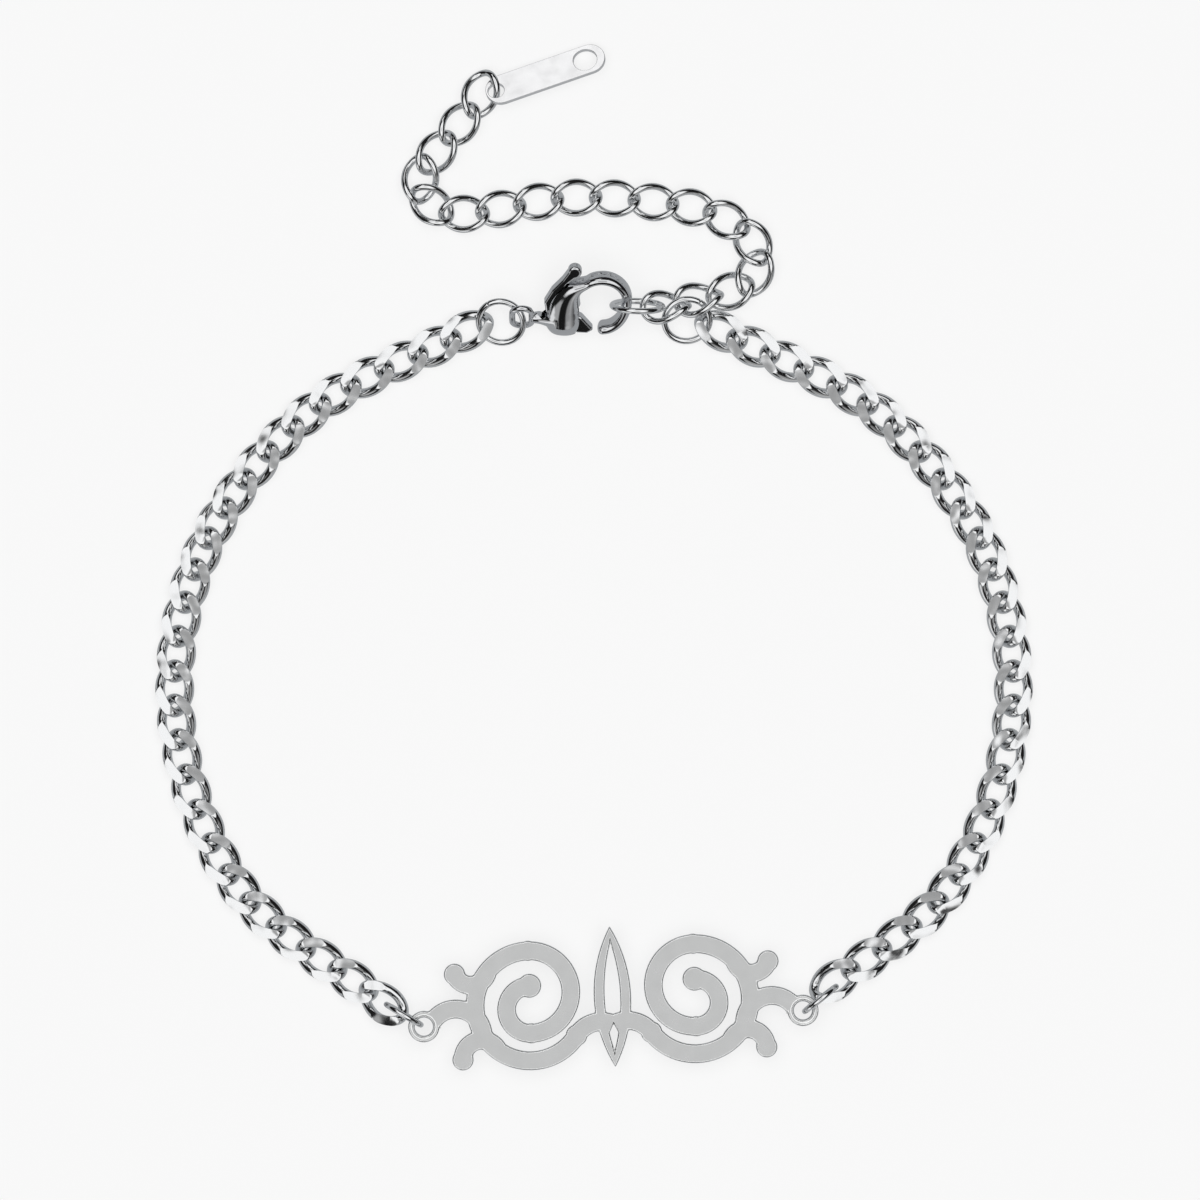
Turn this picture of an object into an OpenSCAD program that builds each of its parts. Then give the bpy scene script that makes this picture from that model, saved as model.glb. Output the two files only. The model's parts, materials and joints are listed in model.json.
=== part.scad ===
// Bracelet laid flat: curb chain, pierced scroll plate, clasp and extension chain.
// Origin: on the surface under the middle of the wrist opening.
// X runs to the right, Y from the plate towards the clasp, Z up. Millimetres.

/* [Curb chain] */
// Outside length of one curb link
link_len = 4.62; // [3:0.02:8]
// Outside width of one curb link
link_width = 3.08; // [2:0.02:6]
// Wire thickness of a curb link
link_wire = 0.74; // [0.4:0.02:1.4]
// Height of the filed chain
chain_h = 1.24; // [0.8:0.02:3]
// Slack along the chain, as a part of the taut spacing
chain_slack = 0.055; // [0:0.005:0.15]

/* [Extension chain] */
// Outside length of one extension link
ext_len = 4.10; // [3:0.02:8]
// Outside width of one extension link
ext_width = 2.97; // [2:0.01:6]
// Wire thickness of the extension chain
ext_wire = 0.44; // [0.3:0.02:1]
// Height of the extension links' middle over the surface
ext_mid_z = 0.72; // [0.5:0.01:1.5]
// Number of extension links
ext_count = 18; // [6:1:30]

/* [Jump rings] */
// Wire thickness of the rings at the clasp
ring_wire = 0.50; // [0.3:0.02:1]
// Middle diameter of the ring at the clasp's eye
clasp_ring_d = 3.60; // [2.6:0.02:6]
// Middle diameter of the ring at the end of the right chain
end_ring_d = 3.66; // [2.6:0.02:6]
// Middle diameter of the ring in the hook
catch_ring_d = 4.00; // [2.6:0.02:6]
// Wire thickness of the rings at the plate
plate_ring_wire = 0.45; // [0.3:0.01:1]
// Middle diameter of the rings at the plate
plate_ring_d = 3.20; // [2.4:0.02:6]

/* [Plate] */
// Distance between the plate's two eye holes
eye_span = 30.33; // [20:0.01:50]
// Plate thickness
plate_t = 1.20; // [0.6:0.05:2.5]
// Height of the plate's underside over the surface, where the rings hold it
plate_lift = 1.15; // [0.3:0.01:3]
// Width of the scroll strokes
stroke_w = 1.50; // [0.8:0.05:2.5]
// Bevel round the plate's eye holes
plate_bevel = 0.18; // [0.05:0.01:0.4]
// Outside diameter of the plate's eyes
eye_d = 2.50; // [2:0.05:4]
// Hole in the plate's eyes
eye_hole_d = 1.45; // [1:0.05:2.5]

/* [Clasp] */
// Middle radius of the hook
hook_r = 2.00; // [1.5:0.05:3]
// Width of the hook, seen from the front
hook_w = 0.72; // [0.5:0.02:1.2]
// Thickness of the hook
hook_t = 1.60; // [0.8:0.05:2.5]
// Thickness of the belly
belly_t = 2.24; // [1.6:0.02:3]
// Thickness of the lever
lever_t = 0.90; // [0.5:0.05:1.4]
// Gap on each side of the lever
lever_gap = 0.12; // [0.1:0.01:0.3]
// Pin diameter
pin_d = 0.60; // [0.4:0.02:1]
// Running clearance of the lever on its pin, on the radius
pin_clearance = 0.05; // [0.01:0.01:0.1]
// Thumb knob diameter
knob_d = 1.10; // [0.8:0.05:2]
// Wire thickness of the clasp's eye
clasp_eye_wire = 0.52; // [0.3:0.02:1]
// Outside width of the clasp's eye
clasp_eye_w = 2.08; // [1.6:0.02:3]
// Outside length of the clasp's eye
clasp_eye_len = 3.36; // [2.4:0.02:5]

/* [Tag] */
// Tag length
tag_len = 10.00; // [6:0.1:20]
// Tag width
tag_w = 2.55; // [2:0.05:6]
// Tag thickness
tag_t = 0.40; // [0.3:0.05:1]
// Large hole in the tag
tag_hole_d = 1.92; // [1:0.02:3]
// Small hole in the tag, for the chain
tag_link_hole_d = 1.32; // [1:0.02:2]

/* [Show] */
// Which piece to show

/* [Hidden] */
steel = [0.78, 0.79, 0.80];
satin = [0.72, 0.72, 0.73];
bright = [0.90, 0.90, 0.91];

// Chain links: how each wire is drawn, and how far a link twists from its middle to its end
wire_rings = 16;
wire_sides = 6;
link_twist = 45;
link_gap = 0.10;
outer_slope = 16;
outer_slope_from = 0.35;
curb_power = 2.2;
ext_power = 2.15;

// Route of the left chain: place along it, x, y. The right chain is its mirror image.
chain_route = [[0, -10.0, 27.6], [5, -23.0, 20.8], [10, -31.4, 9.7], [15, -33.4, -3.8],
  [20, -28.4, -17.1], [25, -16.9, -26.2]];
// Route of the extension: place along it, x, y, starting at the tag
ext_route = [[0, -8.8, 46.4], [2, -12.6, 41.8], [3, -13.9, 39.7], [4, -13.0, 37.6], [5, -10.4, 36.9],
  [8, -1.4, 38.2], [11, 7.8, 37.4], [12, 10.6, 36.4], [13, 12.7, 34.6], [14, 12.85, 32.15],
  [15, 10.9, 30.7], [17, 5.7, 29.6]];

// Number of curb links: the route's length over the taut spacing with its slack
curb_wire_a = (link_len - link_wire) / 2;
curb_wire_b = (link_width - link_wire) / 2;
taut_pitch = link_len - 2 * link_wire - link_gap;
route_len = route_length(chain_route);
left_last = ceil(route_len * (1 + chain_slack) / taut_pitch);
right_last = left_last - 1;
ext_wire_a = (ext_len - ext_wire) / 2;
ext_wire_b = (ext_width - ext_wire) / 2;

// How the end links lie: roll, nose angle, height, distance pulled back along the chain
first_pose = [3.0, 0, 0.688, 0.196];
second_pose = [1.5, 1, 0.65, 0.07];
left_before_last_pose = [0, -1.6, 0.672, 0];
left_last_pose = [10, -8.5, 0.98, 0];
right_before_last_pose = [0, -2.1, 0.692, 0];
right_last_pose = [1.9, -0.4, 0.76, 0];
// Extension end links: x, y, z, roll, heading
tag_end_link = [-9.09, 46.43, 0.80, -2.4, 249.1];
hook_end_link = [5.738, 29.44, 1.266, 35, -177];
before_hook_roll = 31.6;
before_hook_z = 1.138;

// Where the rings lie: position, then turns about X, Y and Z
clasp_ring_pos = [-7.44, 28.235, 1.036];
clasp_ring_turn = [24.7, -8.2, 0];
end_ring_pos = [7.447, 28.383, 1.032];
end_ring_turn = [24.7, 5.8, 0];
catch_ring_pos = [3.47, 29.482, 2.199];
catch_ring_turn = [102.9, 8.2, 0];
plate_ring_z = (plate_ring_d + plate_ring_wire) / 2;

// Plate: middle of the two eye holes, and its turn
plate_pos = [1.55, -27.45, plate_lift];
plate_turn = 2.46;
left_eye = [plate_pos[0] - eye_span / 2 * cos(plate_turn), plate_pos[1] - eye_span / 2 * sin(plate_turn)];
right_eye = [plate_pos[0] + eye_span / 2 * cos(plate_turn), plate_pos[1] + eye_span / 2 * sin(plate_turn)];
// How far the middles of the plate's rings lie beyond its eyes
ring_reach_x = 1.609;
left_ring_reach_y = 0.961;
right_ring_reach_x = 1.399;
right_ring_reach_y = 0.919;
left_plate_ring_pos = [left_eye[0] - ring_reach_x, left_eye[1] + left_ring_reach_y, plate_ring_z];
left_plate_ring_turn = [90, 0, -30.6];
right_plate_ring_pos = [right_eye[0] + right_ring_reach_x, right_eye[1] + right_ring_reach_y, plate_ring_z];
right_plate_ring_turn = [90, 0, 38.4];
// Scroll ornament: its numbers are drawn for eyes 30.33 apart, and grow with them
scroll_unit = eye_span / 30.33;
// Scroll arcs of the right half: centre x, centre y, middle radius, first angle, last angle
scroll_arcs = [
  [6.60, 1.30, 4.40, 217, 448],
  [6.60, 2.40, 3.30, 92, 267],
  [6.60, 1.00, 1.90, 274, 450],
  [1.03, -2.60, 2.40, 38, 115],
  [12.65, -0.90, 2.20, 32, 180],
  [10.65, -2.78, 1.50, 0, 160],
  [11.22, 4.55, 1.40, 190, 340]];
// Beads where the arcs meet, and round ends of the scrolls: x, y, radius
scroll_beads = [[6.60, 5.70, 0.80], [6.60, -0.90, 0.80], [3.00, -1.22, 0.86],
  [6.60, 2.90, 0.95], [12.15, -2.78, 0.85], [12.54, 4.07, 0.85]];
leaf_mid_y = 1.75 * scroll_unit;
leaf_half_h = 5.65 * scroll_unit;
leaf_half_w = 1.50 * scroll_unit;
leaf_hole_half_h = 4.30 * scroll_unit;
leaf_hole_half_w = 0.62 * scroll_unit;
leaf_r = arc_radius(leaf_half_h, leaf_half_w);
leaf_hole_r = arc_radius(leaf_hole_half_h, leaf_hole_half_w);

// Clasp: place and roll of its own frame, whose origin is the middle of the hook
clasp_pos = [0.642, 30.047, 2.579];
clasp_roll = 34.3;
hook_start = 128;
hook_end = -90;
// The lower half of the hook is this much deeper than a circle
hook_deep = 1.34;
hook_step = 13;
body_sides = 20;
body_power = 2.6;
// Belly, from its lower end up into the hook: x, y, half width, half thickness, heading
belly_stations = [
  [-2.95, -3.42, 0.30, 0.12, 90],
  [-2.98, -3.30, 0.75, 0.30, 90],
  [-3.02, -2.95, 1.15, 0.68, 92],
  [-3.08, -2.35, 1.42, 0.94, 92],
  [-3.12, -1.60, 1.50, 1.00, 90],
  [-3.08, -0.80, 1.42, 1.00, 86],
  [-2.92, 0.00, 1.22, 0.97, 76],
  [-2.58, 0.72, 0.92, 0.92, 62],
  [-2.05, 1.25, 0.62, 0.86, 48]];
neck_start = [-5.62, -1.76, 0];
neck_len = 1.90;
neck_r_eye = 0.46;
neck_r_belly = 1.14;
neck_steps = 8;
clasp_eye_pos = [-6.40, -1.72, 0];
clasp_eye_tilt = 28.5;
pin_pos = [-3.30, -1.60];
pin_len = 1.80;
hub_r = 0.72;
slot_w = lever_t + 2 * lever_gap;
knob_pos = [-2.16, 2.71];
// Lever outline, from the knob down its back, round the hub and along the gate
lever_outline = [[-2.58, 2.92], [-3.16, 2.02], [-4.02, 1.02], [-4.62, -0.10], [-4.50, -1.00],
  [-4.02, -1.60], [-3.80, -2.13], [-3.10, -2.30], [-2.00, -2.98], [-1.20, -3.02], [-0.68, -2.70],
  [-1.60, -1.52], [-2.60, -1.00], [-3.35, -0.60], [-3.52, 0.10], [-3.24, 0.86], [-2.76, 1.62],
  [-1.76, 2.52]];
// Slot in the body that the lever swings in
slot_outline = [[-1.55, 3.10], [-2.46, 1.88], [-3.06, 0.94], [-3.36, 0.14], [-3.20, -0.42],
  [-1.20, -0.42], [-1.20, -3.60], [-2.10, -3.20], [-3.10, -2.56], [-3.95, -2.36], [-4.44, -1.80],
  [-4.90, -1.50], [-5.60, -1.00], [-5.60, 3.60]];

// Tag: middle of the small hole, then turns about X, Y and Z
tag_pos = [-7.81, 46.655, 1.04];
tag_turn = [-28.3, 1.6, 19.2];
tag_link_hole_in = 0.84;
tag_hole_in = 1.62;

// Signed power, for rounded oblong outlines
function spow(v, n) = sign(v) * pow(abs(v), 2 / n);

// Radius of the arc that joins two points 2h apart with a rise of w
function arc_radius(h, w) = (h * h + w * w) / (2 * w);

// Place on a route at u: a cubic through the route's points
function knot(r, u, i = 0) = (i >= len(r) - 2 || u < r[i + 1][0]) ? i : knot(r, u, i + 1);
function xy(p) = [p[1], p[2]];
function slope(r, i, j) = (xy(r[j]) - xy(r[i])) / (r[j][0] - r[i][0]);
function route_at(r, u) =
  let (i = knot(r, u), h = r[i + 1][0] - r[i][0], f = (u - r[i][0]) / h)
  let (m1 = h * slope(r, max(i - 1, 0), i + 1))
  let (m2 = h * slope(r, i, min(i + 2, len(r) - 1)))
  (2 * pow(f, 3) - 3 * f * f + 1) * xy(r[i]) + (pow(f, 3) - 2 * f * f + f) * m1
  + (3 * f * f - 2 * pow(f, 3)) * xy(r[i + 1]) + (pow(f, 3) - f * f) * m2;
function route_turn(r, u) =
  let (d = route_at(r, u + 0.5) - route_at(r, u - 0.5)) atan2(d[1], d[0]);
function route_length(r, n = 100) =
  let (last = r[len(r) - 1][0])
  sum([for (i = [1:n]) norm(route_at(r, last * i / n) - route_at(r, last * (i - 1) / n))]);
function sum(v, i = 0) = i >= len(v) ? 0 : v[i] + sum(v, i + 1);

// Middle line of a twisted link at angle t: one end high at its right, the other at its left
function link_mid(a, b, n, t) =
  let (x = a * spow(cos(t), n), y = b * spow(sin(t), n), w = link_twist * x / a)
  [x, y * cos(w), -y * sin(w)];
function unit(v) = v / norm(v);

// One point on the link's wire, cut off flat at the filed height, and at a slope on the outer side
function wire_point(a, b, n, r, flat, slope_angle, i, k) =
  let (t = 360 * i / wire_rings, q = 360 * k / wire_sides)
  let (m = link_mid(a, b, n, t))
  let (along = unit(link_mid(a, b, n, t + 1) - link_mid(a, b, n, t - 1)))
  let (out = unit(m - along * (m * along)), side = cross(along, out))
  let (p = m + r * (cos(q) * out + sin(q) * side))
  [p[0], p[1], max(-flat, min(flat - max(0, -p[1] - outer_slope_from) * tan(slope_angle), p[2]))];

// A closed twisted link
module link(a, b, n, wire, flat, slope_angle) {
  points = [for (i = [0:wire_rings - 1], k = [0:wire_sides - 1])
    wire_point(a, b, n, wire / 2, flat, slope_angle, i, k)];
  faces = [for (i = [0:wire_rings - 1], k = [0:wire_sides - 1], h = [0, 1])
    let (i2 = (i + 1) % wire_rings, k2 = (k + 1) % wire_sides)
    h == 0
      ? [i * wire_sides + k, i2 * wire_sides + k, i2 * wire_sides + k2]
      : [i * wire_sides + k, i2 * wire_sides + k2, i * wire_sides + k2]];
  polyhedron(points = points, faces = faces);
}

module curb_link() link(curb_wire_a, curb_wire_b, curb_power, link_wire, chain_h / 2, outer_slope);
module ext_link() link(ext_wire_a, ext_wire_b, ext_power, ext_wire, ext_len, 0);

// One curb chain, from the clasp's side to the plate
module curb_chain(last, before_last_pose, last_pose) {
  for (i = [0:last]) {
    u = i * chain_route[len(chain_route) - 1][0] / left_last;
    pose = i == 0 ? first_pose : i == 1 ? second_pose : i == last ? last_pose
      : i == last - 1 ? before_last_pose : [0, 0, chain_h / 2, 0];
    p = route_at(chain_route, u);
    translate([p[0], p[1], pose[2]])
      rotate([pose[0], pose[1], route_turn(chain_route, u)])
        translate([pose[3], 0, 0])
          curb_link();
  }
}

module chain_left() {
  color(steel) curb_chain(left_last, left_before_last_pose, left_last_pose);
}

module chain_right() {
  color(steel)
    mirror([1, 0, 0])
      curb_chain(right_last, right_before_last_pose, right_last_pose);
}

module extension_chain() {
  color(steel)
    for (i = [0:ext_count - 1]) {
      u = i * ext_route[len(ext_route) - 1][0] / (ext_count - 1);
      p = route_at(ext_route, u);
      pose = i == 0 ? tag_end_link
        : i == ext_count - 1 ? hook_end_link
        : i == ext_count - 2 ? [p[0], p[1], before_hook_z, before_hook_roll, route_turn(ext_route, u)]
        : [p[0], p[1], ext_mid_z, 0, route_turn(ext_route, u)];
      translate([pose[0], pose[1], pose[2]])
        rotate([pose[3], 0, pose[4]])
          ext_link();
    }
}

module ring(pos, turn, d, wire) {
  color(steel)
    translate(pos)
      rotate(turn)
        rotate_extrude($fn = 96)
          translate([d / 2, 0])
            circle(d = wire, $fn = 32);
}

module clasp_ring() ring(clasp_ring_pos, clasp_ring_turn, clasp_ring_d, ring_wire);
module end_ring() ring(end_ring_pos, end_ring_turn, end_ring_d, ring_wire);
module catch_ring() ring(catch_ring_pos, catch_ring_turn, catch_ring_d, ring_wire);
module plate_ring_left() ring(left_plate_ring_pos, left_plate_ring_turn, plate_ring_d, plate_ring_wire);
module plate_ring_right() ring(right_plate_ring_pos, right_plate_ring_turn, plate_ring_d, plate_ring_wire);

// Flat outline of one scroll arc
module scroll_arc(s) {
  turns = ceil((s[4] - s[3]) / 60);
  r = s[2] * scroll_unit;
  reach = 2 * r;
  translate([s[0], s[1]] * scroll_unit)
    intersection() {
      difference() {
        circle(r = r + stroke_w / 2, $fn = 120);
        circle(r = r - stroke_w / 2, $fn = 120);
      }
      polygon(concat([[0, 0]], [for (i = [0:turns])
        let (a = s[3] + i * (s[4] - s[3]) / turns) [reach * cos(a), reach * sin(a)]]));
    }
}

// Pointed leaf: two large arcs meeting at its tips, pierced by a smaller one
module leaf() {
  translate([0, leaf_mid_y])
    difference() {
      intersection() {
        translate([leaf_r - leaf_half_w, 0]) circle(r = leaf_r, $fn = 200);
        translate([leaf_half_w - leaf_r, 0]) circle(r = leaf_r, $fn = 200);
      }
      intersection() {
        translate([leaf_hole_r - leaf_hole_half_w, 0]) circle(r = leaf_hole_r, $fn = 200);
        translate([leaf_hole_half_w - leaf_hole_r, 0]) circle(r = leaf_hole_r, $fn = 200);
      }
    }
}

module scroll_half() {
  for (s = scroll_arcs) scroll_arc(s);
  for (e = scroll_beads) translate([e[0], e[1]] * scroll_unit) circle(r = e[2] * scroll_unit, $fn = 64);
  translate([eye_span / 2, 0]) circle(d = eye_d, $fn = 64);
}

// Through hole with bevelled rims for a plate eye
module eye_hole() {
  r = eye_hole_d / 2;
  translate([0, 0, -plate_t]) cylinder(r = r, h = 3 * plate_t, $fn = 48);
  for (z = [0, 1])
    translate([0, 0, z * plate_t])
      mirror([0, 0, z])
        translate([0, 0, -plate_bevel])
          cylinder(r1 = r + 2 * plate_bevel, r2 = r, h = 2 * plate_bevel, $fn = 48);
}

module name_plate() {
  color(satin)
    translate(plate_pos)
      rotate(plate_turn)
        difference() {
          linear_extrude(plate_t) {
            scroll_half();
            mirror([1, 0]) scroll_half();
            leaf();
          }
          for (side = [-1, 1]) translate([side * eye_span / 2, 0, 0]) eye_hole();
        }
}

// One cross-section of the clasp's body: rounded oblong across a station's heading
function body_section(s) =
  [for (k = [0:body_sides - 1])
    let (q = 360 * k / body_sides)
    let (p = s[2] * spow(cos(q), body_power), w = s[3] * spow(sin(q), body_power))
    [s[0] + p * sin(s[4]), s[1] - p * cos(s[4]), w]];

hook_turns = floor((hook_start - hook_end) / hook_step);
// The tip's half width swells a little and then closes
function hook_station(a, w, t) =
  let (deep = a < 0 ? hook_deep : 1)
  [hook_r * cos(a), deep * hook_r * sin(a), w, t, atan2(-deep * cos(a), sin(a))];
tip_close = [for (c = [[4, 0.92], [8, 0.70], [10, 0.35]])
  hook_station(hook_end - c[0], c[1] * hook_w * 0.58, c[1] * hook_t / 2)];
body_stations = concat(
  [for (s = belly_stations) [s[0], s[1], s[2], s[3] * belly_t / 2, s[4]]],
  [for (i = [0:hook_turns])
    let (a = hook_start - i * (hook_start - hook_end) / hook_turns, f = i / hook_turns)
    hook_station(a, hook_w * (0.56 - 0.06 * sin(180 * min(1, f * 2 + 0.5)) + 0.02 * f), hook_t / 2)],
  tip_close);

// Neck: its radius swells with the square of the distance from the eye
neck_profile = [for (i = [0:neck_steps])
  let (f = i / neck_steps) [neck_r_eye + (neck_r_belly - neck_r_eye) * f * f, f * neck_len]];

module body_shape() {
  n = len(body_stations);
  middle = n * body_sides;
  ends = [body_stations[0], body_stations[n - 1]];
  points = concat([for (s = body_stations) each body_section(s)], [for (s = ends) [s[0], s[1], 0]]);
  sides = [for (i = [0:n - 2], k = [0:body_sides - 1], h = [0, 1])
    let (k2 = (k + 1) % body_sides, a = i * body_sides, b = (i + 1) * body_sides)
    h == 0 ? [a + k, b + k2, b + k] : [a + k, a + k2, b + k2]];
  first_end = [for (k = [0:body_sides - 1]) [middle, (k + 1) % body_sides, k]];
  last_end = [for (k = [0:body_sides - 1])
    [middle + 1, (n - 1) * body_sides + k, (n - 1) * body_sides + (k + 1) % body_sides]];
  polyhedron(points = points, faces = concat(sides, first_end, last_end));
}

// Oval eye: two half rings and two straight sides
module clasp_eye() {
  r = (clasp_eye_w - clasp_eye_wire) / 2;
  straight = clasp_eye_len - clasp_eye_w;
  for (side = [0, 180])
    rotate(side) {
      translate([0, straight / 2, 0])
        rotate_extrude(angle = 180, $fn = 64)
          translate([r, 0])
            circle(d = clasp_eye_wire, $fn = 32);
      translate([r, straight / 2, 0])
        rotate([90, 0, 0])
          cylinder(d = clasp_eye_wire, h = straight, $fn = 32);
    }
}

module clasp_frame() {
  translate(clasp_pos) rotate([clasp_roll, 0, 0]) children();
}

module clasp_body() {
  color(steel)
    clasp_frame() {
      difference() {
        union() {
          body_shape();
          translate(neck_start)
            rotate([0, 90, 0])
              rotate_extrude($fn = 48)
                polygon(concat([[0, 0]], neck_profile, [[0, neck_len]]));
        }
        translate([0, 0, -slot_w / 2])
          linear_extrude(slot_w)
            polygon(slot_outline);
      }
      translate([pin_pos[0], pin_pos[1], -pin_len / 2])
        cylinder(d = pin_d, h = pin_len, $fn = 32);
      translate(clasp_eye_pos)
        rotate([clasp_eye_tilt, 0, 0])
          clasp_eye();
    }
}

module clasp_lever() {
  color(steel)
    clasp_frame()
      difference() {
        translate([0, 0, -lever_t / 2])
          union() {
            linear_extrude(lever_t) polygon(lever_outline);
            translate([knob_pos[0], knob_pos[1], 0]) cylinder(d = knob_d, h = lever_t, $fn = 48);
            translate([pin_pos[0], pin_pos[1], 0]) cylinder(r = hub_r, h = lever_t, $fn = 48);
          }
        translate([pin_pos[0], pin_pos[1], -lever_t])
          cylinder(r = pin_d / 2 + pin_clearance, h = 2 * lever_t, $fn = 48);
      }
}

// Tag outline: an oblong with round ends
module tag_body() {
  r = tag_w / 2;
  x1 = r - tag_link_hole_in;
  x2 = tag_len - tag_link_hole_in - r;
  translate([x1, 0, -tag_t / 2]) cylinder(r = r, h = tag_t, $fn = 96);
  translate([x2, 0, -tag_t / 2]) cylinder(r = r, h = tag_t, $fn = 96);
  translate([x1, -r, -tag_t / 2]) cube([x2 - x1, tag_w, tag_t]);
}

module end_tag() {
  color(bright)
    translate(tag_pos)
      rotate(tag_turn)
        difference() {
          tag_body();
          translate([0, 0, -tag_t]) cylinder(d = tag_link_hole_d, h = 2 * tag_t, $fn = 64);
          translate([tag_len - tag_link_hole_in - tag_hole_in, 0, -tag_t])
            cylinder(d = tag_hole_d, h = 2 * tag_t, $fn = 64);
        }
}

name_plate();
plate_ring_left();
plate_ring_right();
chain_left();
chain_right();
clasp_ring();
end_ring();
catch_ring();
clasp_body();
clasp_lever();
extension_chain();
end_tag();
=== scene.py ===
# %% [markdown]
# # A steel bracelet with a pierced plate
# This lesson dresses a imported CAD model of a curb-chain bracelet. Each step says what the real
# piece is, how it could be made, and why this way was chosen. The CAD model is the fixed frame:
# every new piece goes where the CAD says, in metres, and nothing is moved to fit.

# %% Load the fixed frame
import json
import bpy
import numpy as np
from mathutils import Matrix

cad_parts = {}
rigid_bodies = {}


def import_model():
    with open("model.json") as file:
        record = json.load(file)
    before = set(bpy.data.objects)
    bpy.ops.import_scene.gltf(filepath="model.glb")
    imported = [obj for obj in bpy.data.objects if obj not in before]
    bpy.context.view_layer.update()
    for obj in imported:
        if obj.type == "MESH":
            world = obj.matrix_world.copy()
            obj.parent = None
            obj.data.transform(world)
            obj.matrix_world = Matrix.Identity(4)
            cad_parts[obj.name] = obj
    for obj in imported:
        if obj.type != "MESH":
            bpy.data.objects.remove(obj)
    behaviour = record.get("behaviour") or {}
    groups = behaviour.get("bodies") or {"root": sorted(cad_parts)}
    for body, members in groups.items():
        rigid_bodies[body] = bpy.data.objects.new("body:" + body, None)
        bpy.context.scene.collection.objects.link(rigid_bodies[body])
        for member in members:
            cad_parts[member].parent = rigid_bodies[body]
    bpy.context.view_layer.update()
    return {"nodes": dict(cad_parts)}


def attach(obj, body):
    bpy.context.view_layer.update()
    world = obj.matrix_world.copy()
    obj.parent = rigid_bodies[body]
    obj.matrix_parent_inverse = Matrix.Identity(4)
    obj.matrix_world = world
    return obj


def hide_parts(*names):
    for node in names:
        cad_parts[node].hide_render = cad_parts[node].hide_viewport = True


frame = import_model()

# %% [markdown]
# The source is drawn in millimetres and turned with angles in degrees. One constant and one small
# helper carry that over, so that the numbers below read as they do in the source.

# %% Millimetres and turns
MM = 0.001


def turned(x, y, z):
    """Turn about X, then Y, then Z, in degrees, as one matrix: Rz times Ry times Rx."""
    a, b, c = np.radians(np.broadcast_arrays(x, y, z)).astype(float)
    one, nil = np.ones_like(a), np.zeros_like(a)
    about_x = np.array([[one, nil, nil], [nil, np.cos(a), -np.sin(a)], [nil, np.sin(a), np.cos(a)]])
    about_y = np.array([[np.cos(b), nil, np.sin(b)], [nil, one, nil], [-np.sin(b), nil, np.cos(b)]])
    about_z = np.array([[np.cos(c), -np.sin(c), nil], [np.sin(c), np.cos(c), nil], [nil, nil, one]])
    z_turn, y_turn, x_turn = [np.moveaxis(m, (0, 1), (-2, -1)) for m in (about_z, about_y, about_x)]
    return z_turn @ y_turn @ x_turn


print("a turn of 90 about Z takes X to", turned(0, 0, 90)[:, 0].round(3))

# %% [markdown]
# Wire, ring and cast surface alike are a grid of points: one direction runs along the piece and
# the other round it. Blender could also bevel a curve, but a grid that numpy works out keeps every
# facet edge on a row of vertices. The helpers close the grid both ways, or close the two ends with
# a middle point where the piece isn't a loop. Edges sharper than the crease angle stay crisp.

# %% From grids of points to a mesh
CREASE = np.radians(28)


def shape_object(name, points, faces, filed=None):
    """Puts points (in mm) and faces into a mesh object, smooth but for edges past the crease angle."""
    mesh = bpy.data.meshes.new(name)
    mesh.from_pydata((np.asarray(points) * MM).tolist(), [], faces)
    if filed is not None:
        marks = mesh.attributes.new("filed", "FLOAT", "FACE")
        marks.data.foreach_set("value", np.asarray(filed, np.float32))
    mesh.shade_smooth()
    mesh.set_sharp_from_angle(angle=CREASE)
    made = bpy.data.objects.new(name, mesh)
    bpy.context.collection.objects.link(made)
    print(f"{name}: {len(mesh.vertices)} points, {len(mesh.polygons)} faces")
    return made


def tube_faces(rings, sides, loop=True, copies=1, flip=False):
    """Quads between neighbouring rings, wrapping round the sides, for each copy of the grid."""
    i = np.arange(rings if loop else rings - 1)[:, None]
    k = np.arange(sides)[None, :]
    i2, k2 = (i + 1) % rings, (k + 1) % sides
    quads = np.stack([i * sides + k, i2 * sides + k, i2 * sides + k2, i * sides + k2], -1).reshape(-1, 4)
    quads = (quads[None] + rings * sides * np.arange(copies)[:, None, None]).reshape(-1, 4)
    return (quads[:, ::-1] if flip else quads).tolist()


def capped_tube(name, points):
    """An open tube whose two ends are closed by a fan round the middle of each end ring."""
    rings, sides = points.shape[:2]
    ends = np.stack([points[0].mean(0), points[-1].mean(0)])
    k = np.arange(sides)
    k2, last, hub = (k + 1) % sides, (rings - 1) * sides, rings * sides
    first_fan = np.stack([np.full(sides, hub), k2, k], -1).tolist()
    last_fan = np.stack([np.full(sides, hub + 1), last + k, last + k2], -1).tolist()
    every = np.concatenate([points.reshape(-1, 3), ends])
    return shape_object(name, every, tube_faces(rings, sides, loop=False) + first_fan + last_fan)


print("a ring of 4 by 3 points has", len(tube_faces(4, 3)), "faces")

# %% [markdown]
# The bracelet lies in a loop, and its links follow it. A cubic through a few named places gives
# the loop: it is the same curve as in the source, so each link lands on its CAD solid.

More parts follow.
